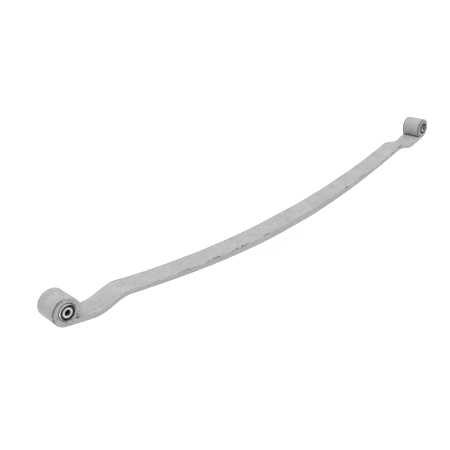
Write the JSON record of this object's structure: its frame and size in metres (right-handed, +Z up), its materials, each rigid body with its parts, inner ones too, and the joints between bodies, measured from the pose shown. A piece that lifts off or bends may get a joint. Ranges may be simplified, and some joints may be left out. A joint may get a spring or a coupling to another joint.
{
  "type": "leaf spring",
  "caption": "Single-leaf parabolic suspension spring: an arched, tapered steel bar with a joggle and an up-rolled, rubber-bushed eye at each end.",
  "frame": {"origin": "centre of the underside of the flat axle seat, where the spring stands on a plate", "axes": "+X along the leaf from the front eye towards the rear eye, +Y across the leaf's width along the eye axes, +Z up, from the seat towards the side that the eyes are rolled to"},
  "size_m": [1.7364, 0.076, 0.1473],
  "materials": {
    "leaf_paint": "satin grey paint over forged spring steel, faintly mottled, chipped on the edges",
    "outer_sleeve_steel": "bright turned steel tube, lightly oxidised",
    "bush_rubber": "matte black moulded rubber",
    "inner_sleeve_zinc": "satin zinc-plated steel tube with a turned end face"
  },
  "bodies": {
    "seat": {"leaf_seat_span": "leaf_paint"},
    "front_arm": {"leaf_front_arm": "leaf_paint", "front_outer_sleeve": "outer_sleeve_steel", "front_rubber_bush": "bush_rubber"},
    "rear_arm": {"leaf_rear_arm": "leaf_paint", "rear_outer_sleeve": "outer_sleeve_steel", "rear_rubber_bush": "bush_rubber"},
    "front_sleeve": {"front_inner_sleeve": "inner_sleeve_zinc"},
    "rear_sleeve": {"rear_inner_sleeve": "inner_sleeve_zinc"}
  },
  "joints": [
    {"name": "front_flex", "type": "hinge", "parent": "seat", "child": "front_arm", "pos_m": [-0.25, 0, 0.02127], "axis": [0, -1, 0], "range_deg": [-2, 13], "stiffness_Nm_per_rad": 20600, "deforming": ["leaf_front_arm"]},
    {"name": "rear_flex", "type": "hinge", "parent": "seat", "child": "rear_arm", "pos_m": [0.25, 0, 0.02127], "axis": [0, 1, 0], "range_deg": [-2, 13], "stiffness_Nm_per_rad": 20600, "deforming": ["leaf_rear_arm"]},
    {"name": "front_bush_twist", "type": "hinge", "parent": "front_arm", "child": "front_sleeve", "pos_m": [-0.83, 0, 0.11032], "axis": [0, -1, 0], "range_deg": [-25, 25], "stiffness_Nm_per_rad": 80, "deforming": ["front_rubber_bush"]},
    {"name": "rear_bush_twist", "type": "hinge", "parent": "rear_arm", "child": "rear_sleeve", "pos_m": [0.83, 0, 0.11032], "axis": [0, 1, 0], "range_deg": [-25, 25], "stiffness_Nm_per_rad": 80, "deforming": ["rear_rubber_bush"]}
  ]
}
